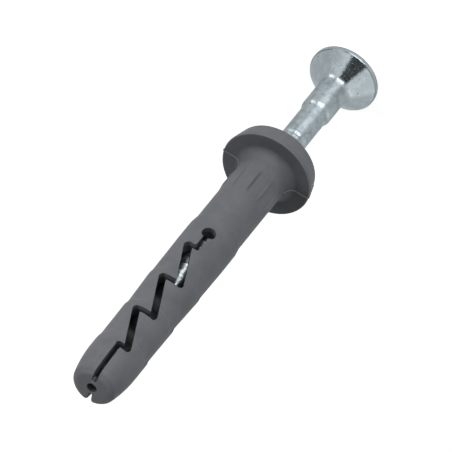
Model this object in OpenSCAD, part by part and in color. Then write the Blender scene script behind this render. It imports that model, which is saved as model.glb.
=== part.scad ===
// Hammer fixing plug for a 6 mm hole: a slit plastic sleeve with a collar, and a nail screw part driven in.
// The plug stands on the flat head of the nail screw, with the nose of the sleeve up and its slit facing -Y.

/* [Collar] */
// Diameter of the collar at its underside, which meets the wall
collar_d = 10.85; // [10:0.05:14]
// Diameter of the collar at its top, where the nail head seats
collar_top_d = 9.9; // [9.4:0.1:12]
// Thickness of the collar
collar_t = 2.4; // [2:0.1:4]
// Rounding of the collar's two edges
collar_edge = 0.2; // [0.05:0.05:0.4]

/* [Neck] */
// Diameter of the plain neck under the collar
neck_d = 5.74; // [5.6:0.02:5.84]
// Reach of the fillet between the collar and the neck, out along the collar
neck_fillet = 1; // [0.5:0.05:1.3]
// Reach of that fillet down the neck
neck_flare = 1.4; // [0.8:0.05:1.8]
// Numbers of low ribs on the front half and the back half of the neck
rib_n = [5, 4]; // [2:1:5]
// Angle from one rib to the next
rib_pitch = 35; // [24:1:40]
// Height of a rib above the neck
rib_h = 0.12; // [0.06:0.01:0.16]
// Radius of a rib's round back
rib_r = 0.19; // [0.17:0.01:0.8]
// Start of a rib's full height, from the collar
rib_from = 3.6; // [2.9:0.1:4]
// End of a rib's full height, from the collar
rib_to = 5.4; // [5:0.1:8]
// Length over which a rib runs out into the neck at each end
rib_runout = 1; // [0.4:0.1:1.4]
// Width of the parting line's flash on the collar
flash_w = 0.14; // [0.08:0.02:0.3]
// Height of the parting line's flash
flash_h = 0.08; // [0.04:0.02:0.2]

/* [Barbs] */
// Diameter over each barb, from the neck to the nose
barb_d = [6.0, 5.98, 5.84, 5.9]; // [5.6:0.02:6.2]
// Diameter just before each barb
waist_d = [5.68, 5.84, 5.6, 5.7]; // [5.2:0.02:5.9]
// Crest of the first barb, from the collar
barb_start = 12.4; // [11:0.1:12.8]
// Length of the ramp up to the first barb
first_ramp = 1.15; // [0.3:0.05:2]
// Length of the ramp up to each other barb
barb_ramp = 0.5; // [0.2:0.05:1]
// Length of the straight land on the first barb
barb_land = 3; // [2:0.1:5]
// How far each other barb stands ahead of its slit tooth
barb_lead = 1.2; // [0.8:0.1:2]
// How much further ahead the barbs of the back half stand
back_lead = 1.1; // [0:0.05:1.2]

/* [Slit] */
// Middle of the round relief hole, from the collar
relief_at = 14.6; // [13.6:0.1:15.2]
// Diameter of the relief hole
relief_d = 1.62; // [1:0.02:1.8]
// Level of the first tooth, from the collar
first_tooth = 17.25; // [16.6:0.05:18]
// Distance from one tooth to the next
tooth_pitch = 5.7; // [5:0.05:6]
// Reach of the teeth to each side of the axis
tooth_reach = 1.05; // [0.6:0.05:1.3]
// How far the far end of each slanted cut stops short of its tooth
tooth_short = 0.2; // [0:0.02:0.4]
// Width of each slanted cut, from the neck to the nose
slant_w = [0.95, 0.82, 0.82]; // [0.5:0.01:1.1]
// Width of the cross cut at each tooth
cross_w = 0.72; // [0.4:0.02:1]
// Width of the straight cuts at both ends
slit_w = 0.62; // [0.4:0.02:0.9]
// How much nearer the nose the teeth of the back wall stand
back_shift = 1.3; // [0:0.05:1.5]
// Width of the slanted and cross cuts in the back wall
back_w = 0.5; // [0.4:0.02:0.9]
// Width of the back wall's straight cut to the nose
back_tail_w = 0.42; // [0.3:0.02:0.7]

/* [Nose] */
// Length of the sleeve from the collar's underside to the end of the nose
sleeve_len = 38.95; // [38.5:0.05:44]
// Length over which the nose draws in
nose_taper = 3.9; // [1.5:0.1:4]
// How much the nose's radius draws in over that length
nose_drop = 0.44; // [0.1:0.02:0.6]
// Rounding of the nose's end
nose_round = 0.85; // [0.3:0.05:1]
// Thickness of the web that ties the two legs at the nose
nose_web = 0.9; // [0.7:0.05:1.5]
// Width of that web
nose_web_w = 1.7; // [1.4:0.05:2.4]
// Diameter of the hole in the web
nose_hole_d = 1.2; // [0.9:0.05:1.4]

/* [Nail screw] */
// Diameter of the head
head_d = 8.36; // [7.6:0.02:8.8]
// Thickness of the head's rim
head_rim = 0.6; // [0.3:0.05:1]
// Included angle of the head's cone
head_angle = 90; // [80:1:100]
// Rounding of the head's top edge
head_edge = 0.12; // [0.04:0.02:0.25]
// Fillet between the head and the shank
head_fillet = 1.2; // [0.4:0.1:1.6]
// Diameter of the upper shank
shank_d = 3.64; // [3.4:0.02:3.9]
// End of the upper shank, from the head's top
shank_end = 7.15; // [6:0.05:8]
// Length of each step down in the shank
shank_step = 1.1; // [0.5:0.05:1.5]
// Diameter of the middle shank
middle_d = 3.14; // [3.04:0.02:3.3]
// End of the middle shank, from the head's top
middle_end = 12.9; // [11:0.1:14]
// Outer diameter of the thread
thread_d = 3; // [2.6:0.02:3.02]
// Included angle of the point
point_angle = 84; // [60:1:100]
// Diameter of the flat at the very end of the point
point_flat = 0.3; // [0.1:0.05:0.5]
// Distance that the nail screw still has to be driven
drive_travel = 16.4; // [10:0.1:18]

/* [Cross recess] */
// Width of the cross recess from wing end to wing end
recess_span = 4.3; // [3.4:0.1:4.8]
// Width of a wing
recess_w = 0.85; // [0.6:0.05:1.1]
// Depth of the recess
recess_depth = 1.9; // [1.2:0.1:2.1]
// Width at the bottom of the recess, as a share of its span
recess_draw = 0.42; // [0.3:0.02:0.7]

/* [Fits] */
// Radial clearance between the nail screw and the sleeve
run_clear = 0.08; // [0.03:0.01:0.12]
// How far the point enters the nose hole when the head is home
point_entry = 0.3; // [0:0.05:0.35]

/* [Hidden] */
$fn = 96;
arc_steps = 8;
past = 1; // how far a cut runs past the face that it opens

collar_r = collar_d / 2;
collar_top_r = collar_top_d / 2;
neck_r = neck_d / 2;
barb_r = barb_d / 2;
waist_r = waist_d / 2;
barb_n = len(barb_d);
slant_n = len(slant_w);

// Level of tooth i and crest of barb i, from the collar's underside
function tooth_at(i) = first_tooth + i * tooth_pitch;
function barb_at(i, lead) = i == 0 ? barb_start : tooth_at(i) - barb_lead - lead;
function ramp_of(i) = i == 0 ? first_ramp : barb_ramp;

// The nose draws in along a parabola, and its end is rounded from the parabola's last slope
nose_slope = atan(2 * nose_drop / nose_taper);
nose_from = sleeve_len - nose_round * (1 - sin(nose_slope)) - nose_taper;
nose_r = barb_r[barb_n - 1] - nose_drop;

head_r = head_d / 2;
shank_r = shank_d / 2;
middle_r = middle_d / 2;
thread_r = thread_d / 2;
cone_slope = tan(head_angle / 2);
cone_end = head_rim + (head_r - shank_r) / cone_slope;
point_len = (thread_r - point_flat / 2) / tan(point_angle / 2);

// Driven home, the head's rim stands on the collar and the point reaches into the nose hole
home_under = head_rim + collar_t;
nail_len = home_under + sleeve_len - nose_web + point_entry;
under_z = home_under + drive_travel;

function arc(c, r, from, to) =
    [for (i = [0 : arc_steps]) let (a = from + (to - from) * i / arc_steps) c + r * [cos(a), sin(a)]];

// Outline of the collar and the top of the neck, grown by g, as [radius, level]
function collar_outline(g) = concat(
    [[0, -collar_t - g]],
    arc([collar_top_r - collar_edge, collar_edge - collar_t], collar_edge + g, -90, 0),
    arc([collar_r - collar_edge, -collar_edge], collar_edge + g, 0, 90),
    [for (i = [0 : arc_steps]) let (a = 270 - 90 * i / arc_steps)
        [neck_r + neck_fillet + (neck_fillet - g) * cos(a), neck_flare + (neck_flare - g) * sin(a)]]);

function barb_outline(i, lead) = concat(
    [[waist_r[i], barb_at(i, lead) - ramp_of(i)], [barb_r[i], barb_at(i, lead)]],
    i == 0 ? [[barb_r[0], barb_start + barb_land]] : []);

function nose_outline() = concat(
    [for (i = [0 : arc_steps]) let (t = i / arc_steps)
        [barb_r[barb_n - 1] - nose_drop * t * t, nose_from + nose_taper * t]],
    arc([nose_r - nose_round * cos(nose_slope), sleeve_len - nose_round], nose_round, nose_slope, 90),
    [[0, sleeve_len]]);

function sleeve_outline(lead) = concat(
    collar_outline(0),
    [for (i = [0 : barb_n - 1]) each barb_outline(i, lead)],
    nose_outline());

// Outline of the nail screw, grown by g, as [radius, height above the head's top]
function nail_outline(g) =
    let (turn = head_angle / 2)
    let (tangent = head_fillet * tan(turn / 2))
    concat(
        [[0, 0], [head_r - head_edge + g, 0], [head_r + g, head_edge], [head_r + g, head_rim]],
        arc([shank_r + head_fillet + g, cone_end + tangent], head_fillet, 180 + turn, 180),
        [[shank_r + g, shank_end], [middle_r + g, shank_end + shank_step],
         [middle_r + g, middle_end], [thread_r + g, middle_end + shank_step],
         [thread_r + g, nail_len - point_len], [point_flat / 2 + g, nail_len], [0, nail_len + g]]);

// One half of the sleeve's body: side -1 is the front, with the slit's face, and side 1 is the back
module half_body(side, lead) {
    depth = collar_d + past;
    intersection() {
        rotate_extrude() polygon(sleeve_outline(lead));
        translate([-depth / 2, side > 0 ? 0 : -depth / 2, -collar_t - past])
            cube([depth, depth / 2, sleeve_len + collar_t + 2 * past]);
    }
}

// A low rib with a round back, laid along the neck and run out at both ends
module neck_rib() {
    sunk_r = rib_r - rib_h;
    translate([neck_r - sunk_r, 0, rib_from - rib_runout])
        cylinder(r1 = sunk_r, r2 = rib_r, h = rib_runout);
    translate([neck_r - sunk_r, 0, rib_from]) cylinder(r = rib_r, h = rib_to - rib_from);
    translate([neck_r - sunk_r, 0, rib_to]) cylinder(r1 = rib_r, r2 = sunk_r, h = rib_runout);
}

// Ribs that keep the neck from turning in the hole, in the middle of the front half and of the back half
module neck_ribs() {
    for (half = [0, 1])
        for (i = [0 : rib_n[half] - 1])
            rotate(180 * half - 90 + (i - (rib_n[half] - 1) / 2) * rib_pitch) neck_rib();
}

// Thin flash where the two halves of the mould meet, around the collar's edge and into the fillet
module parting_flash() {
    for (side = [0, 180])
        rotate([90, 0, side])
            linear_extrude(flash_w, center = true)
                intersection() {
                    polygon(concat(collar_outline(flash_h), [[0, neck_flare]]));
                    translate([0, collar_edge - collar_t]) square([collar_d, collar_t + neck_flare]);
                }
}

// A straight cut of width w with round ends, from a to b
module cut(a, b, w) {
    run = b - a;
    translate(a) circle(d = w);
    translate(b) circle(d = w);
    translate(a) rotate(atan2(run[1], run[0])) translate([0, -w / 2]) square([norm(run), w]);
}

// One wall's zigzag slit, seen from the front: a relief hole and a straight cut, slanted cuts that
// a cross cut joins at each tooth, and a straight tail to the nose
module slit_face(shift, slant, cross, tail) {
    last = tooth_at(slant_n) + shift;
    translate([0, shift]) {
        translate([0, relief_at]) circle(d = relief_d);
        cut([0, relief_at], [0, first_tooth], slit_w);
        cut([0, first_tooth], [tooth_reach, first_tooth], cross);
        for (i = [0 : slant_n - 1]) {
            far = [tooth_short / 2 - tooth_reach, tooth_at(i + 1)];
            cut([tooth_reach, tooth_at(i)], far - [0, tooth_short], slant[i]);
            cut(far, [i < slant_n - 1 ? tooth_reach : 0, tooth_at(i + 1)], cross);
        }
    }
    translate([-tail / 2, last]) square([tail, sleeve_len - nose_web - last]);
}

// The slit is cut through the front wall and the back wall; at the nose it leaves a web across the middle
module slit() {
    rotate([90, 0, 0]) linear_extrude(collar_r) slit_face(0, slant_w, cross_w, slit_w);
    translate([0, collar_r, 0])
        rotate([90, 0, 0])
            linear_extrude(collar_r) slit_face(back_shift, [for (w = slant_w) back_w], back_w, back_tail_w);
    for (side = [0, 1])
        let (w = side == 0 ? back_tail_w : slit_w)
            rotate([0, 0, 180 * side])
                translate([-w / 2, nose_web_w / 2, sleeve_len - nose_web - past])
                    cube([w, collar_r, nose_web + 2 * past]);
}

// The bore is the nail screw's own outline, driven home, with the running clearance
module bore() {
    translate([0, 0, -home_under]) rotate_extrude() polygon(nail_outline(run_clear));
    translate([0, 0, sleeve_len - nose_web - past]) cylinder(d = nose_hole_d, h = nose_web + 2 * past);
}

module sleeve() {
    color("#6b6c70")
        translate([0, 0, under_z])
            difference() {
                union() {
                    half_body(-1, 0);
                    half_body(1, back_lead);
                    neck_ribs();
                    parting_flash();
                }
                bore();
                slit();
            }
}

// One pair of wings of the cross recess, narrower at its bottom
module recess_wings() {
    top = recess_span / 2;
    bottom = top * recess_draw;
    rotate([90, 0, 0])
        linear_extrude(recess_w, center = true)
            polygon([[-top, -past], [top, -past], [top, 0], [bottom, recess_depth],
                     [-bottom, recess_depth], [-top, 0]]);
}

module nail_screw() {
    color("#c3c9cd")
        difference() {
            rotate_extrude() polygon(nail_outline(0));
            for (turn = [0, 90]) rotate(turn) recess_wings();
        }
}

sleeve();
nail_screw();
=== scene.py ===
import math
import bmesh
import bpy
from mathutils import Matrix, Quaternion, Vector


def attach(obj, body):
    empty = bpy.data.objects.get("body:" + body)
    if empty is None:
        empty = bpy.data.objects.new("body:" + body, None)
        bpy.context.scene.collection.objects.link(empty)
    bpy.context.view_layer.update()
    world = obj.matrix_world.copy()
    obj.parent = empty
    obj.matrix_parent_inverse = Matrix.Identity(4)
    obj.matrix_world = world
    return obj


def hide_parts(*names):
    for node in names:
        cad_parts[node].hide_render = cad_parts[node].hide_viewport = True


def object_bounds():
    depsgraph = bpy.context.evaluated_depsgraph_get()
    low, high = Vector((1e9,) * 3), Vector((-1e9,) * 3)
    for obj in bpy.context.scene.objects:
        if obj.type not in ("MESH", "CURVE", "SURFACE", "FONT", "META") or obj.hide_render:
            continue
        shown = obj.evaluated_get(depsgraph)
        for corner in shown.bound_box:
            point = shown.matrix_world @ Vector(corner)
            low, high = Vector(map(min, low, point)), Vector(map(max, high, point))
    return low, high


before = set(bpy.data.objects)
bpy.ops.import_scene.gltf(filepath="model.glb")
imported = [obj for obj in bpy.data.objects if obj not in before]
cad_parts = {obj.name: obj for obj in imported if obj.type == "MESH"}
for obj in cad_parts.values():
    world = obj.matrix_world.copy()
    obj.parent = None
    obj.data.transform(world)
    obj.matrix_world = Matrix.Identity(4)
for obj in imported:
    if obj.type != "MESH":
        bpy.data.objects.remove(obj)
cadBox = [list(map(float, corner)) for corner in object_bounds()]
scene = bpy.context.scene
scene.view_settings.view_transform = "Standard"
mm = 0.001
weld = 0.0005 * mm  # points nearer than this are one
collarFace = 19.4 * mm  # level of the collar's side towards the nose
noseTop = cadBox[1][2]  # the nose is the highest point
print("frame loaded, nodes:", sorted(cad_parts))


def nodeAt(tree, kind, **settings):
    node = tree.nodes.new(kind)
    for name, value in settings.items():
        setattr(node, name, value)
    return node


def put(node, **values):  # constant numbers straight on sockets
    for name, value in values.items():
        node.inputs[name.replace("_", " ")].default_value = value
    return node


def feed(tree, value, socket):  # a number or colour is set, anything else is linked
    if isinstance(value, (int, float)):
        socket.default_value = value
    elif isinstance(value, tuple):
        socket.default_value = (*value, 1.0)
    else:
        tree.links.new(value, socket)


def mathNode(tree, operation, *values, clamp=False):
    node = nodeAt(tree, "ShaderNodeMath", operation=operation, use_clamp=clamp)
    for value, socket in zip(values, node.inputs):
        feed(tree, value, socket)
    return node.outputs[0]


def multiply(tree, first, *others):
    for value in others:
        first = mathNode(tree, "MULTIPLY", first, value)
    return first


def awayFrom(tree, value, middle):
    return mathNode(tree, "ABSOLUTE", mathNode(tree, "SUBTRACT", value, middle))


def mapRange(tree, value, lo, hi, toLo=0.0, toHi=1.0, smooth=True):
    node = nodeAt(tree, "ShaderNodeMapRange", interpolation_type="SMOOTHSTEP" if smooth else "LINEAR")
    tree.links.new(value, node.inputs["Value"])
    put(node, From_Min=lo, From_Max=hi, To_Min=toLo, To_Max=toHi)
    return node.outputs["Result"]


def mixColour(tree, factor, first, second):
    node = nodeAt(tree, "ShaderNodeMix", data_type="RGBA", blend_type="MIX")
    factorIn, firstIn, secondIn, colourOut = 0, 6, 7, 2  # a Mix node's sockets for colours
    for index, value in ((factorIn, factor), (firstIn, first), (secondIn, second)):
        feed(tree, value, node.inputs[index])
    return node.outputs[colourOut]


def mixShaders(tree, factor, first, second):
    node = tree.nodes.new("ShaderNodeMixShader")
    for value, socket in zip((factor, first, second), node.inputs):
        tree.links.new(value, socket)
    return node.outputs[0]


def grey(level):
    return (level, level, level)


def axesOf(tree, place):
    split = nodeAt(tree, "ShaderNodeSeparateXYZ")
    tree.links.new(place, split.inputs[0])
    return split.outputs


def vectorNode(tree, operation, first, second=None):
    node = nodeAt(tree, "ShaderNodeVectorMath", operation=operation)
    tree.links.new(first, node.inputs[0])
    if isinstance(second, tuple):
        node.inputs[1].default_value = second
    elif second is not None:
        tree.links.new(second, node.inputs[1])
    return node.outputs


def noiseIn(tree, vector, scale, detail, rough, distortion=0.0):
    node = put(nodeAt(tree, "ShaderNodeTexNoise"), Detail=detail, Roughness=rough, Distortion=distortion)
    tree.links.new(vector, node.inputs["Vector"])
    tree.links.new(scale, node.inputs["Scale"])
    return node.outputs["Fac"]


def newGroup(name, inputs, outputs):  # a vector and some numbers in, numbers out
    group = bpy.data.node_groups.new(name, "ShaderNodeTree")
    group.interface.new_socket("Vector", in_out="INPUT", socket_type="NodeSocketVector")
    for label, value in inputs.items():
        group.interface.new_socket(label, in_out="INPUT", socket_type="NodeSocketFloat").default_value = value
    for label in outputs:
        group.interface.new_socket(label, in_out="OUTPUT", socket_type="NodeSocketFloat")
    return group, group.nodes.new("NodeGroupInput").outputs, group.nodes.new("NodeGroupOutput").inputs


def grainGroup():  # fine grain and broad mottling of a moulded or plated surface
    group, ins, outs = newGroup(
        "surfaceGrain", {"Grain Scale": 4000.0, "Mottle Scale": 400.0}, ("Grain", "Mottle", "Height"))
    fine = noiseIn(group, ins["Vector"], ins["Grain Scale"], detail=4.0, rough=0.6)
    mottle = noiseIn(group, ins["Vector"], ins["Mottle Scale"], detail=4.0, rough=0.64, distortion=0.3)
    fineShare, mottleShare = 0.6, 0.9  # of the height
    height = mathNode(group, "ADD", multiply(group, fine, fineShare), multiply(group, mottle, mottleShare))
    for value, label in ((fine, "Grain"), (mottle, "Mottle"), (height, "Height")):
        group.links.new(value, outs[label])
    return group


def rubGroup():  # marks drawn out along the plug's axis, as sliding and drawing leave them
    group, ins, outs = newGroup("axialMarks", {"Scale": 2500.0, "Stretch": 0.08}, ("Marks",))
    stretch = put(nodeAt(group, "ShaderNodeCombineXYZ"), X=1.0, Y=1.0)
    group.links.new(ins["Stretch"], stretch.inputs["Z"])
    drawnOut = vectorNode(group, "MULTIPLY", ins["Vector"], stretch.outputs[0])["Vector"]
    group.links.new(noiseIn(group, drawnOut, ins["Scale"], detail=2.0, rough=0.5), outs["Marks"])
    return group


def speckGroup():  # few small dots, one in some of the cells
    group, ins, outs = newGroup("sparseSpecks", {"Scale": 1500.0, "Share": 0.3, "Size": 0.2}, ("Specks",))
    cells = nodeAt(group, "ShaderNodeTexVoronoi", feature="F1")
    group.links.new(ins["Vector"], cells.inputs["Vector"])
    group.links.new(ins["Scale"], cells.inputs["Scale"])
    channels = nodeAt(group, "ShaderNodeSeparateColor")
    group.links.new(cells.outputs["Color"], channels.inputs[0])
    chosen = mathNode(group, "LESS_THAN", channels.outputs["Red"], ins["Share"])
    outward = mathNode(group, "DIVIDE", cells.outputs["Distance"], ins["Size"])
    near = mathNode(group, "SUBTRACT", 1.0, outward, clamp=True)
    softEdge = 0.6
    group.links.new(multiply(group, chosen, mapRange(group, near, 0.0, softEdge)), outs["Specks"])
    return group


grain = grainGroup()
rub = rubGroup()
speck = speckGroup()
print("node groups made")


def useGroup(tree, group, vector, **values):
    node = put(nodeAt(tree, "ShaderNodeGroup", node_tree=group), **values)
    tree.links.new(vector, node.inputs["Vector"])
    return node.outputs


def surfaceOf(tree, place, look):  # grain, axial marks and specks at the scales of one piece
    base = useGroup(tree, grain, place, Grain_Scale=look["grainScale"], Mottle_Scale=look["mottleScale"])
    marks = useGroup(tree, rub, place, Scale=look["marksScale"], Stretch=look["marksStretch"])
    dots = useGroup(tree, speck, place, Scale=look["dotScale"], Share=look["dotShare"], Size=look["dotSize"])
    return base, marks["Marks"], dots["Specks"]


def newMaterial(name):
    material = bpy.data.materials.new(name)
    material.use_nodes = True
    tree = material.node_tree
    place = tree.nodes.new("ShaderNodeTexCoord").outputs["Object"]
    return material, tree, tree.nodes["Principled BSDF"], place


def bumpInto(tree, shader, height, look):
    bump = put(nodeAt(tree, "ShaderNodeBump"), Strength=look["bump"], Distance=look["bumpDepth"])
    tree.links.new(height, bump.inputs["Height"])
    tree.links.new(bump.outputs["Normal"], shader.inputs["Normal"])


# a span reads: from, to and, where given, the value before and after it
sleeveLook = {
    # pale is the grain's own tone and also painted highlight on the flash, the collar's edge and the nose end
    "deep": (0.121, 0.131, 0.142), "plain": (0.150, 0.154, 0.167), "pale": (0.225, 0.232, 0.244),
    # these two darkest tones are painted shade: in slits, bore and crack, under the collar and along the ribs
    "paintedInsideShade": (0.030, 0.032, 0.036), "corner": (0.052, 0.056, 0.062),
    "mottleScale": 330.0, "mottleSpan": (0.3, 0.7),
    "grainScale": 5200.0, "grainPale": (0.56, 0.72, 0.0, 0.34),
    "marksScale": 2600.0, "marksStretch": 0.06, "marksPale": (0.6, 0.75, 0.0, 0.14), "marksHeight": 0.25,
    "dotScale": 1900.0, "dotShare": 0.25, "dotSize": 0.16, "dotPale": 0.3,
    "roughSpan": (0.3, 0.7, 0.52, 0.68), "specular": 0.22, "bump": 0.3, "bumpDepth": 0.03 * mm,
    "collarLow": collarFace - 2.5 * mm, "collarHigh": collarFace + 1.5 * mm,
    "flashHighlight": (0.06 * mm, 0.1 * mm, 0.8, 0.0),  # painted highlight beside the parting line
    # painted shade of the torn crack at the nose
    "crackRise": (noseTop - 1.05 * mm, noseTop - 0.95 * mm), "crackLine": (0.06 * mm, 0.12 * mm, 0.9, 0.0),
    # painted shade inside slits and bore, deeper in from the outer skin
    "skinTaper": (noseTop - 4.35 * mm, noseTop - 0.05 * mm, 2.55 * mm, 0.45 * mm),  # radius; less is inside
    "sunkShade": (0.0, 0.3 * mm, 0.0, 0.7),
    # painted highlight along the collar's lower edge
    "edgeOut": 5.3 * mm, "edgeHighlight": (collarFace - 0.14 * mm, collarFace - 0.05 * mm, 0.0, 0.7),
    # painted light on the nose's end face
    "noseTopLight": (noseTop - 0.35 * mm, noseTop + 0.01 * mm, 0.0, 0.76),
    # painted shade in the corner under the collar
    "cornerShadeFrom": collarFace - 0.05 * mm, "cornerShadeFade": (collarFace + 0.2 * mm, collarFace + 2.2 * mm, 0.31, 0.0),
    # painted shade lines along the neck's ribs
    "ribFront": math.radians(-90.0), "ribPitch": math.radians(35.0),
    "ribStart": (-0.1 * mm, 0.1 * mm, math.radians(-94.5), math.radians(103.0)),  # front half, back half
    "creaseLine": (math.radians(0.96), math.radians(3.2), 0.5, 0.0),
    "creaseRise": (collarFace + 2.4 * mm, collarFace + 3.2 * mm),
    "creaseEnd": (collarFace + 5.8 * mm, collarFace + 6.6 * mm, 1.0, 0.0),
    "creaseSide": (math.radians(10.5), math.radians(28.0), 1.0, 0.35),
    "flatAngle": 0.5, "sharp": 32.0, "bevel": 0.07 * mm, "bevelSteps": 2,  # angles in degrees
    "slotHalf": 0.21 * mm, "slotSoft": 0.36 * mm, "slotClear": 0.004 * mm, "slotShare": 0.8,
    "slotCuts": (0.0, 0.06, 0.18, 0.36, 0.6, 1.0), "cutFrom": 0.68 * mm, "cutGap": 0.00001 * mm,
    "webEdge": 0.85 * mm, "wallInside": 1.9 * mm, "wallBelow": noseTop - 0.05 * mm,
    "noseLow": noseTop - 4.35 * mm, "noseTurn": noseTop - 0.85 * mm, "noseRing": 1.55 * mm,
    "fadeIn": 0.5 * mm, "fadeUp": 2.0 * mm,
}


def nylonTone(tree, look, base, marks, dots):
    colour = mixColour(tree, mapRange(tree, base["Mottle"], *look["mottleSpan"]), look["deep"], look["plain"])
    grains = mapRange(tree, base["Grain"], *look["grainPale"])
    streaks = mapRange(tree, marks, *look["marksPale"])
    for mask in (grains, multiply(tree, dots, look["dotPale"]), streaks):
        colour = mixColour(tree, mask, colour, look["pale"])
    return colour


def flashHighlightMask(tree, look, y, z):  # painted highlight on the thin flash along the parting line
    above = mathNode(tree, "GREATER_THAN", z, look["collarLow"])
    below = mathNode(tree, "LESS_THAN", z, look["collarHigh"])
    return multiply(tree, mapRange(tree, mathNode(tree, "ABSOLUTE", y), *look["flashHighlight"]), above, below)


def crackShadeMask(tree, look, x, y, z):  # painted shade of a torn gap between slit and nose hole
    line = mapRange(tree, mathNode(tree, "ABSOLUTE", x), *look["crackLine"])
    return multiply(tree, mapRange(tree, z, *look["crackRise"]), line, mathNode(tree, "LESS_THAN", y, 0.0))


def sunkShadeMask(tree, look, reach, z):  # painted shade on the walls of slit and bore, darker further in
    skin = mapRange(tree, z, *look["skinTaper"], smooth=False)
    sunk = mapRange(tree, mathNode(tree, "SUBTRACT", skin, reach), *look["sunkShade"])
    return multiply(tree, sunk, mathNode(tree, "GREATER_THAN", z, look["collarHigh"]))


def edgeHighlightMask(tree, look, reach, z):  # painted highlight along the collar's lower edge
    outside = mathNode(tree, "GREATER_THAN", reach, look["edgeOut"])
    return multiply(tree, outside, mapRange(tree, z, *look["edgeHighlight"]))


def cornerShadeMask(tree, look, z):  # painted shade in the corner under the collar
    above = mathNode(tree, "GREATER_THAN", z, look["cornerShadeFrom"])
    return multiply(tree, above, mapRange(tree, z, *look["cornerShadeFade"]))


def ribShadeMask(tree, look, x, y, z):  # painted shade lines beside the neck's ribs, strongest at the front
    turn = mathNode(tree, "ARCTAN2", y, x)
    onward = mathNode(tree, "SUBTRACT", turn, mapRange(tree, y, *look["ribStart"]))
    beside = mathNode(tree, "PINGPONG", onward, look["ribPitch"] * 0.5)
    alongRib = multiply(tree, mapRange(tree, z, *look["creaseRise"]), mapRange(tree, z, *look["creaseEnd"]))
    toSide = mapRange(tree, awayFrom(tree, turn, look["ribFront"]), *look["creaseSide"])
    return multiply(tree, mapRange(tree, beside, *look["creaseLine"]), alongRib, toSide)


def nylonMaterial(look):
    material, tree, shader, place = newMaterial("greyNylon")
    base, marks, dots = surfaceOf(tree, place, look)
    x, y, z = axesOf(tree, place)
    flat = vectorNode(tree, "MULTIPLY", place, (1.0, 1.0, 0.0))["Vector"]
    reach = vectorNode(tree, "LENGTH", flat)["Value"]
    colour = nylonTone(tree, look, base, marks, dots)
    # painted highlights on flash, collar edge and nose end; painted shade in crack, slits, bore, corner and
    # ribs
    paintedLightAndShade = (
        (flashHighlightMask(tree, look, y, z), "pale"), (crackShadeMask(tree, look, x, y, z), "paintedInsideShade"),
        (sunkShadeMask(tree, look, reach, z), "paintedInsideShade"), (edgeHighlightMask(tree, look, reach, z), "pale"),
        (mapRange(tree, z, *look["noseTopLight"]), "pale"),  # painted light: the blunt end face is lighter, as light from above falls on it
        (cornerShadeMask(tree, look, z), "corner"), (ribShadeMask(tree, look, x, y, z), "corner"))
    for mask, tint in paintedLightAndShade:
        colour = mixColour(tree, mask, colour, look[tint])
    tree.links.new(colour, shader.inputs["Base Color"])
    tree.links.new(mapRange(tree, base["Grain"], *look["roughSpan"]), shader.inputs["Roughness"])
    put(shader, Specular_IOR_Level=look["specular"])
    height = mathNode(tree, "ADD", base["Height"], multiply(tree, marks, look["marksHeight"]))
    bumpInto(tree, shader, height, look)
    return material


nailLook = {
    # the darkest tone also serves as painted shade at the rim's edges and in the bore, the lightest as a
    # painted glint
    "bright": (0.352, 0.400, 0.419), "dull": (0.242, 0.283, 0.303), "dark": (0.10, 0.115, 0.125),
    "glintTone": (0.72, 0.78, 0.80), "edgeTint": (0.72, 0.75, 0.77, 1.0),
    "mottleScale": 900.0, "mottleSpan": (0.34, 0.6),
    "grainScale": 5200.0, "grainDark": (0.62, 0.72, 0.0, 0.5),
    "marksScale": 3400.0, "marksStretch": 0.10, "marksDull": (0.58, 0.72, 0.0, 0.4), "marksHeight": 0.5,
    "dotScale": 1150.0, "dotShare": 0.3, "dotSize": 0.17, "dotDark": 0.8,
    "bump": 1.0, "bumpDepth": 0.012 * mm, "anisotropy": 0.8, "allRound": 0.25,  # turned all round the axis
    "shankSpan": (2.5 * mm, 3.5 * mm), "coneEven": 0.6, "coneRough": 0.17, "shankRough": 0.44,
    "roughSpread": 0.16, "etchRough": (0.5, 0.66, 0.0, 0.11),
    "steps": (7.48 * mm, 12.95 * mm), "stepRough": (0.204 * mm, 0.34 * mm, 0.33),
    "ringPitch": 0.40 * mm, "ringShare": 0.42, "ringWander": 6.0,
    # painted shade: dark lines at the rim's corner and bottom edge, and the thread darkened inside the bore
    "rimCorner": 0.635 * mm, "rimCornerShade": (0.02 * mm, 0.105 * mm, 0.75, 0.0),
    "rimEdgeShade": (0.16 * mm, 0.28 * mm, 0.7, 0.0),
    "boreShadeRise": (15.0 * mm, 16.0 * mm, 0.0, 0.55), "boreShadeEnd": (35.6 * mm, 36.0 * mm, 1.0, 0.0),
    "pointGlint": (36.0 * mm, 36.4 * mm, 0.0, 0.7),  # painted highlight: the point is lighter, as a glint through the slit
    "sharp": 28.0, "around": 96, "topKept": 0.125 * mm, "recessReach": 2.4 * mm, "recessKept": 2.0 * mm,
    "coneAngle": 45.0, "fillet": 1.2 * mm, "filletSteps": 8,
    "crease": 0.06 * mm, "longRun": 0.3 * mm, "ringGap": 0.5 * mm,
    "rim": [(4.18, 0.20), (4.18, 0.54), (4.165, 0.585), (4.13, 0.65)],  # radius and level in mm
    "shank": [
        (1.82, 3.457), (1.82, 7.15), (1.808, 7.27), (1.79, 7.34), (1.605, 7.636), (1.587, 7.7),
        (1.576, 7.9), (1.57, 8.25), (1.57, 12.75), (1.56, 12.81), (1.545, 12.85), (1.42, 13.05),
        (1.41, 13.11), (1.41, 13.22)],
    "threadFrom": 13.3 * mm, "pitch": 1.05 * mm, "perPitch": 14,
    "major": 1.5 * mm, "core": 1.17 * mm, "runRadius": 1.42 * mm,  # radii of crest, root and run-in
    "toothHalf": 0.36, "toothPower": 0.85, "runTurns": 0.6, "runTooth": 0.25,
    "pointFlat": 0.15 * mm, "pointTan": math.tan(math.radians(42.0)),
}


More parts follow.
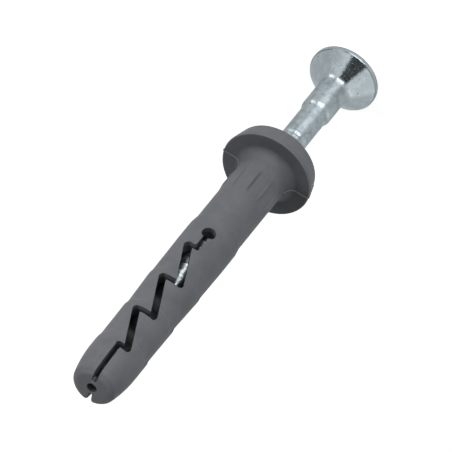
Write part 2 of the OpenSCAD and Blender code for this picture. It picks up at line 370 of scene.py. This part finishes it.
def zincPaintedShade(tree, look, z):  # painted shade: dark lines at both edges of the rim, and the thread darkened inside the bore
    corner = mapRange(tree, awayFrom(tree, z, look["rimCorner"]), *look["rimCornerShade"])
    edge = mapRange(tree, z, *look["rimEdgeShade"])
    bore = multiply(tree, mapRange(tree, z, *look["boreShadeRise"]), mapRange(tree, z, *look["boreShadeEnd"]))
    return mathNode(tree, "MAXIMUM", mathNode(tree, "MAXIMUM", corner, edge), bore)


def zincTone(tree, look, base, marks, dots, z, shank):
    even = mapRange(tree, shank, 0.0, 1.0, look["coneEven"], 0.0)  # the cone is cleaner than the shank
    tone = mathNode(tree, "MAXIMUM", mapRange(tree, base["Mottle"], *look["mottleSpan"]), even)
    colour = mixColour(tree, tone, look["dull"], look["bright"])
    layers = (
        (mapRange(tree, base["Grain"], *look["grainDark"]), "dark"),
        (mapRange(tree, marks, *look["marksDull"]), "dull"),
        (multiply(tree, dots, look["dotDark"]), "dark"),
        # painted light: a glint near the point, then painted shade at the rim's edges and in the bore
        (mapRange(tree, z, *look["pointGlint"]), "glintTone"),
        (zincPaintedShade(tree, look, z), "dark"))
    for mask, tint in layers:
        colour = mixColour(tree, mask, colour, look[tint])
    return colour


def zincRough(tree, look, base, marks, z, shank):
    level = mapRange(tree, shank, 0.0, 1.0, look["coneRough"], look["shankRough"], smooth=False)
    for step in look["steps"]:  # the formed shoulders are pressed smoother
        pressed = mapRange(tree, awayFrom(tree, z, step), *look["stepRough"], look["shankRough"])
        level = mathNode(tree, "MINIMUM", level, pressed)
    mean = multiply(tree, mathNode(tree, "ADD", base["Mottle"], marks), 0.5)
    uneven = multiply(tree, mathNode(tree, "SUBTRACT", mean, 0.5), look["roughSpread"])  # about zero
    level = mathNode(tree, "ADD", level, uneven, clamp=True)
    etched = mapRange(tree, base["Grain"], *look["etchRough"])  # fine pits scatter what the plating mirrors
    return mathNode(tree, "ADD", level, etched, clamp=True)


def zincHeight(tree, look, base, marks, z, shank):  # grain, drawing marks and wandering tool rings
    along = mathNode(tree, "DIVIDE", z, look["ringPitch"] / math.tau)
    wave = mathNode(tree, "ADD", along, multiply(tree, base["Mottle"], look["ringWander"]))
    rings = multiply(tree, mathNode(tree, "SINE", wave), shank, look["ringShare"])
    height = mathNode(tree, "ADD", base["Height"], multiply(tree, marks, look["marksHeight"]))
    return mathNode(tree, "ADD", height, rings)


def zincMaterial(look):
    material, tree, shader, place = newMaterial("zincSteel")
    base, marks, dots = surfaceOf(tree, place, look)
    z = axesOf(tree, place)["Z"]
    shank = mapRange(tree, z, *look["shankSpan"])
    tangent = nodeAt(tree, "ShaderNodeTangent", direction_type="RADIAL", axis="Z")
    tree.links.new(tangent.outputs[0], shader.inputs["Tangent"])
    tree.links.new(zincTone(tree, look, base, marks, dots, z, shank), shader.inputs["Base Color"])
    tree.links.new(zincRough(tree, look, base, marks, z, shank), shader.inputs["Roughness"])
    put(shader, Metallic=1.0, Specular_Tint=look["edgeTint"])
    put(shader, Anisotropic=look["anisotropy"], Anisotropic_Rotation=look["allRound"])
    bumpInto(tree, shader, zincHeight(tree, look, base, marks, z, shank), look)
    return material


def copyOfNode(nodeName, pieceName):
    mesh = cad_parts[nodeName].data.copy()
    mesh.materials.clear()
    piece = bpy.data.objects.new(pieceName, mesh)
    scene.collection.objects.link(piece)
    shape = bmesh.new()
    shape.from_mesh(mesh)
    bmesh.ops.remove_doubles(shape, verts=shape.verts, dist=weld)
    return piece, shape


def freshMesh(piece, shape, sharpAngle):  # a new mesh leaves the imported normals behind
    mesh = bpy.data.meshes.new(piece.name)
    shape.to_mesh(mesh)
    shape.free()
    if "custom_normal" in mesh.attributes:
        mesh.attributes.remove(mesh.attributes["custom_normal"])
    mesh.polygons.foreach_set("use_smooth", [True] * len(mesh.polygons))
    mesh.set_sharp_from_angle(angle=math.radians(sharpAngle))
    piece.data = mesh


def cutSlotLips(shape, look):  # loops beside the back slot, closer together near its edge
    for share in look["slotCuts"]:
        for side in (-1, 1):
            middles = [(face, face.calc_center_median()) for face in shape.faces]
            near = [face for face, at in middles if at.z > look["noseLow"] and at.y > look["cutFrom"]]
            geom = list({part for face in near for part in (*face.verts, *face.edges, face)})
            reach = side * (look["slotHalf"] + look["slotClear"] + look["slotSoft"] * share)
            bmesh.ops.bisect_plane(
                shape, geom=geom, dist=look["cutGap"], plane_co=(reach, 0, 0), plane_no=(1, 0, 0))


def roundSlotLips(shape, look):  # the back slot's lips are rounded over the nose
    soft = look["slotSoft"]
    for vertex in shape.verts:
        x, y, z = vertex.co
        away = math.hypot(x, y)
        onWall = away < look["wallInside"] and z < look["wallBelow"]
        depth = soft - max(0.0, abs(x) - look["slotHalf"])
        if z < look["noseLow"] or y < look["webEdge"] or onWall or depth <= 0:
            continue
        outward = max(0.0, away - look["noseRing"])
        facing = Vector((0, outward, max(0.0, z - look["noseTurn"]))).normalized()
        drop = (soft - math.sqrt(soft ** 2 - depth ** 2)) * look["slotShare"]
        fadeIn = min(1.0, (y - look["webEdge"]) / look["fadeIn"])
        fadeUp = min(1.0, (z - look["noseLow"]) / look["fadeUp"])
        vertex.co -= facing * drop * fadeIn * fadeUp


def makeSleeve(look):
    piece, shape = copyOfNode("sleeve", "grey_sleeve")
    flat = math.radians(look["flatAngle"])
    bmesh.ops.dissolve_limit(shape, angle_limit=flat, verts=shape.verts, edges=shape.edges)
    cutSlotLips(shape, look)
    roundSlotLips(shape, look)
    freshMesh(piece, shape, look["sharp"])
    bevel = piece.modifiers.new("softEdges", "BEVEL")
    bevel.width = look["bevel"]
    bevel.segments = look["bevelSteps"]
    bevel.limit_method = "ANGLE"
    bevel.angle_limit = math.radians(look["sharp"])
    bevel.use_clamp_overlap = True
    piece.modifiers.new("evenNormals", "WEIGHTED_NORMAL").keep_sharp = True
    piece.data.materials.append(nylonMaterial(look))
    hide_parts("sleeve")
    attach(piece, "sleeve")
    print("sleeve:", len(piece.data.polygons), "faces before the soft edges")


def threadRadius(look, height, turn, tip):
    phase = (height / look["pitch"] - turn) % 1.0
    flank = max(0.0, 1.0 - abs(phase - 0.5) / look["toothHalf"])
    tooth = flank ** look["toothPower"]  # sharp crest on a wide root
    runIn = min(1.0, (height - look["threadFrom"]) / (look["runTurns"] * look["pitch"]))
    root = look["core"] + (look["runRadius"] - look["core"]) * (1.0 - runIn)
    full = root + (look["major"] - root) * tooth * min(1.0, look["runTooth"] + runIn)
    point = look["pointFlat"] + (tip - height) * look["pointTan"]
    return min(full, point)


def addRing(shape, look, radiusAt, height):
    ring = []
    for step in range(look["around"]):
        turn = step / look["around"]
        radius, angle = radiusAt(turn), turn * math.tau
        ring.append(shape.verts.new((radius * math.cos(angle), radius * math.sin(angle), height)))
    return ring


def filletPoints(look):  # from the cone's slope round to the shank
    centre = Vector(look["shank"][0]) * mm + Vector((look["fillet"], 0))
    points = []
    for step in range(look["filletSteps"] + 1):
        angle = math.radians(180.0 + look["coneAngle"] * (1.0 - step / look["filletSteps"]))
        points.append(centre + look["fillet"] * Vector((math.cos(angle), math.sin(angle))))
    return points


def nailProfile(look):  # rim, cone, fillet and stepped shank, with tight loops at each crease
    rim, shank = [[Vector(point) * mm for point in look[name]] for name in ("rim", "shank")]
    points = rim + filletPoints(look) + shank[1:]
    dense = points[:1]
    for start, end in zip(points, points[1:]):
        run = end - start
        if run.length > look["longRun"]:
            share = look["crease"] / run.length
            count = max(1, round(run.length / look["ringGap"]))
            dense += [start + run * (share + (1 - 2 * share) * i / count) for i in range(count + 1)]
        dense.append(end)
    return dense


def addNailSkin(shape, look, tip):
    rings = [addRing(shape, look, lambda turn, r=point.x: r, point.y) for point in nailProfile(look)]
    threaded = tip - look["threadFrom"]
    rows = int(threaded / look["pitch"] * look["perPitch"])
    for row in range(rows + 1):
        height = look["threadFrom"] + threaded * row / rows
        rings.append(addRing(shape, look, lambda turn: threadRadius(look, height, turn, tip), height))
    for lower, upper in zip(rings, rings[1:]):
        for step in range(look["around"]):
            after = (step + 1) % look["around"]
            shape.faces.new((lower[step], lower[after], upper[after], upper[step]))
    shape.faces.new(rings[-1])


def keepsHeadTop(face, look):  # the flat head with its recess stays as it is in the solid
    for vertex in face.verts:
        away = math.hypot(vertex.co.x, vertex.co.y)
        inRecess = away < look["recessReach"] and vertex.co.z < look["recessKept"]
        if vertex.co.z > look["topKept"] and not inRecess:
            return False
    return True


def makeNail(look):
    piece, shape = copyOfNode("nail_screw", "zinc_nail")
    tip = max(vertex.co.z for vertex in piece.data.vertices)
    remade = [face for face in shape.faces if not keepsHeadTop(face, look)]
    bmesh.ops.delete(shape, geom=remade, context="FACES")
    headEdges = [edge for edge in shape.edges if edge.is_boundary]
    addNailSkin(shape, look, tip)
    ringEdges = [edge for edge in shape.edges if edge.is_boundary and edge not in set(headEdges)]
    bmesh.ops.bridge_loops(shape, edges=headEdges + ringEdges)
    bmesh.ops.recalc_face_normals(shape, faces=shape.faces)
    leftOpen = sum(1 for edge in shape.edges if edge.is_boundary)
    freshMesh(piece, shape, look["sharp"])
    piece.modifiers.new("evenNormals", "WEIGHTED_NORMAL").keep_sharp = True
    piece.data.materials.append(zincMaterial(look))
    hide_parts("nail_screw")
    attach(piece, "nail")
    print("nail screw:", len(piece.data.polygons), "faces,", leftOpen, "open edges")


makeSleeve(sleeveLook)
makeNail(nailLook)

floorLook = {
    "half": 6.0, "level": -0.02 * mm, "bounce": 0.8,
    "white": 0.85, "shadowShare": 0.6,  # as the camera sees it
    "mirrorWhite": 0.65, "mirrorShare": 0.9,  # as metal mirrors it, with more of its own shade
}


def floorMaterial(look):
    material = bpy.data.materials.new("paleFloor")
    material.use_nodes = True
    tree = material.node_tree
    tree.nodes.clear()
    path = tree.nodes.new("ShaderNodeLightPath").outputs
    mirrored = path["Is Glossy Ray"]
    seen = mathNode(tree, "MAXIMUM", path["Is Camera Ray"], mirrored)
    seen = mathNode(tree, "MAXIMUM", seen, path["Is Transmission Ray"])
    plain = put(nodeAt(tree, "ShaderNodeBsdfDiffuse"), Color=(*grey(look["bounce"]), 1.0))
    glow = put(nodeAt(tree, "ShaderNodeEmission"), Color=(*grey(1.0), 1.0))
    level = mapRange(tree, mirrored, 0.0, 1.0, look["white"], look["mirrorWhite"])
    tree.links.new(level, glow.inputs["Strength"])
    shade = nodeAt(tree, "ShaderNodeBsdfDiffuse")
    tone = mixColour(tree, mirrored, grey(look["shadowShare"]), grey(look["mirrorShare"]))
    tree.links.new(tone, shade.inputs["Color"])
    both = tree.nodes.new("ShaderNodeAddShader")
    tree.links.new(glow.outputs[0], both.inputs[0])
    tree.links.new(shade.outputs[0], both.inputs[1])
    out = tree.nodes.new("ShaderNodeOutputMaterial")
    tree.links.new(mixShaders(tree, seen, plain.outputs[0], both.outputs[0]), out.inputs["Surface"])
    return material


def makeFloor(look):
    half, level = look["half"], look["level"]
    corners = [(x, y, level) for x, y in ((-half, -half), (half, -half), (half, half), (-half, half))]
    mesh = bpy.data.meshes.new("paleFloor")
    mesh.from_pydata(corners, [], [(0, 1, 2, 3)])
    mesh.materials.append(floorMaterial(look))
    floor = bpy.data.objects.new("paleFloor", mesh)
    scene.collection.objects.link(floor)


studioLook = {
    "lit": (0.57, -0.81, 0.10), "litSpan": (-0.5, 0.8), "litTone": 0.27, "darkTone": 0.03,
    "topSpan": (0.3, 1.0), "topTone": 0.15,
    "sheen": 1.35, "leftSpan": (0.2, 0.8), "leftSheen": 0.935,
    "lowSpan": (0.05, 0.3, 1.0, 0.0), "lowSheen": 1.0, "backSpan": (0.3, 0.9), "backSheen": 1.05,
    "lensWay": (-0.326, -0.945, 0.0), "lensEdge": (0.862, 0.888), "lensRise": (0.3, 0.45), "lensTone": 0.05,
    "aim": 30.0 * mm, "metalNear": 0.96,
    "lamps": [  # bearing, height, distance, width, tallness, level on matt surfaces, level in metal
        ("keyLamp", -98.0, 0.055, 0.62, 0.50, 0.12, 0.60, 0.78),
        ("leftLamp", -42.0, 0.165, 0.70, 0.40, 0.10, 0.09, 0.18),
        ("topLamp", -24.0, 0.56, 0.68, 0.40, 0.40, 0.27, 0.0),
        ("rightLamp", 172.0, 0.10, 0.70, 0.60, 0.17, 0.08, 0.055),
        ("backLamp", 100.0, 0.07, 0.70, 0.50, 0.13, 0.20, 0.0),
    ],
}


def fallingLight(tree, look, place):  # what lights the object
    z = axesOf(tree, place)["Z"]
    facing = vectorNode(tree, "DOT_PRODUCT", place, look["lit"])["Value"]
    sides = mapRange(tree, facing, *look["litSpan"])
    tone = mixColour(tree, sides, grey(look["darkTone"]), grey(look["litTone"]))
    return mixColour(tree, mapRange(tree, z, *look["topSpan"]), tone, grey(look["topTone"]))


def mirroredRoom(tree, look, place):  # what polished metal shows: a dark camera in a pale room
    x, y, z = axesOf(tree, place)
    flat = vectorNode(tree, "MULTIPLY", place, (1.0, 1.0, 0.0))["Vector"]
    bearing = vectorNode(tree, "NORMALIZE", flat)["Vector"]
    ahead = vectorNode(tree, "DOT_PRODUCT", bearing, look["lensWay"])["Value"]
    lens = multiply(tree, mapRange(tree, ahead, *look["lensEdge"]), mapRange(tree, z, *look["lensRise"]))
    left = mapRange(tree, x, *look["leftSpan"])
    low = mapRange(tree, z, *look["lowSpan"])
    back = mapRange(tree, y, *look["backSpan"])
    tone = mixColour(tree, left, grey(look["sheen"]), grey(look["leftSheen"]))
    for mask, name in ((low, "lowSheen"), (back, "backSheen"), (lens, "lensTone")):
        tone = mixColour(tree, mask, tone, grey(look[name]))
    return tone


def backgroundOf(tree, colour):
    node = nodeAt(tree, "ShaderNodeBackground")
    feed(tree, colour, node.inputs["Color"])
    return node.outputs[0]


def makeWorld(look):
    world = bpy.data.worlds.new("studio")
    scene.world = world
    world.use_nodes = True
    tree = world.node_tree
    tree.nodes.clear()
    path = tree.nodes.new("ShaderNodeLightPath").outputs
    place = tree.nodes.new("ShaderNodeTexCoord").outputs["Generated"]
    light = backgroundOf(tree, fallingLight(tree, look, place))
    room = backgroundOf(tree, mirroredRoom(tree, look, place))
    white = backgroundOf(tree, grey(1.0))
    seen = mathNode(tree, "MAXIMUM", path["Is Camera Ray"], path["Is Transmission Ray"])
    around = mixShaders(tree, path["Is Glossy Ray"], light, room)
    out = tree.nodes.new("ShaderNodeOutputWorld")
    tree.links.new(mixShaders(tree, seen, around, white), out.inputs["Surface"])


def makeLamp(look, name, bearing, rise, distance, width, tall, level, metal):
    lamp = bpy.data.lights.new(name, "AREA")
    lamp.shape = "RECTANGLE"
    lamp.size, lamp.size_y = width, tall
    lamp.energy = level * math.pi ** 2 * (distance ** 2 + rise ** 2)  # level 1 shows a colour as written
    holder = bpy.data.objects.new(name, lamp)
    turn = math.radians(bearing)
    reach = distance * look["metalNear"] if metal else distance  # the metal's lamp stands just in front
    holder.location = (math.cos(turn) * reach, math.sin(turn) * reach, rise)
    outward = Vector(holder.location) - Vector((0, 0, look["aim"]))
    holder.rotation_euler = outward.to_track_quat("Z", "Y").to_euler()
    holder.visible_glossy = metal
    holder.visible_diffuse = not metal
    scene.collection.objects.link(holder)


def makeLamps(look):
    for name, *place, mattLevel, metalLevel in look["lamps"]:
        makeLamp(look, name + "Matt", *place, mattLevel, metal=False)
        if metalLevel:
            makeLamp(look, name + "Metal", *place, metalLevel, metal=True)


cameraLook = {
    "target": (-0.289 * mm, -0.313 * mm, 29.353 * mm), "distance": 453.0 * mm,
    "bearing": -103.701, "rise": 42.193, "roll": -140.886, "lens": 334.51, "sensor": 36.0, "clip": 10.0 * mm,
}


def makeCamera(look):
    data = bpy.data.cameras.new("photoView")
    data.lens = look["lens"]
    data.sensor_width = look["sensor"]
    data.clip_start = look["clip"]
    bearing, rise, roll = [math.radians(look[name]) for name in ("bearing", "rise", "roll")]
    level = math.cos(rise)
    outward = Vector((math.cos(bearing) * level, math.sin(bearing) * level, math.sin(rise)))
    turn = outward.to_track_quat("Z", "Y") @ Quaternion((0, 0, 1), roll)
    holder = bpy.data.objects.new("photoView", data)
    holder.matrix_world = Matrix.LocRotScale(Vector(look["target"]) + outward * look["distance"], turn, None)
    scene.collection.objects.link(holder)
    scene.camera = holder


makeFloor(floorLook)
makeWorld(studioLook)
makeLamps(studioLook)
makeCamera(cameraLook)
print("floor, studio and camera set")
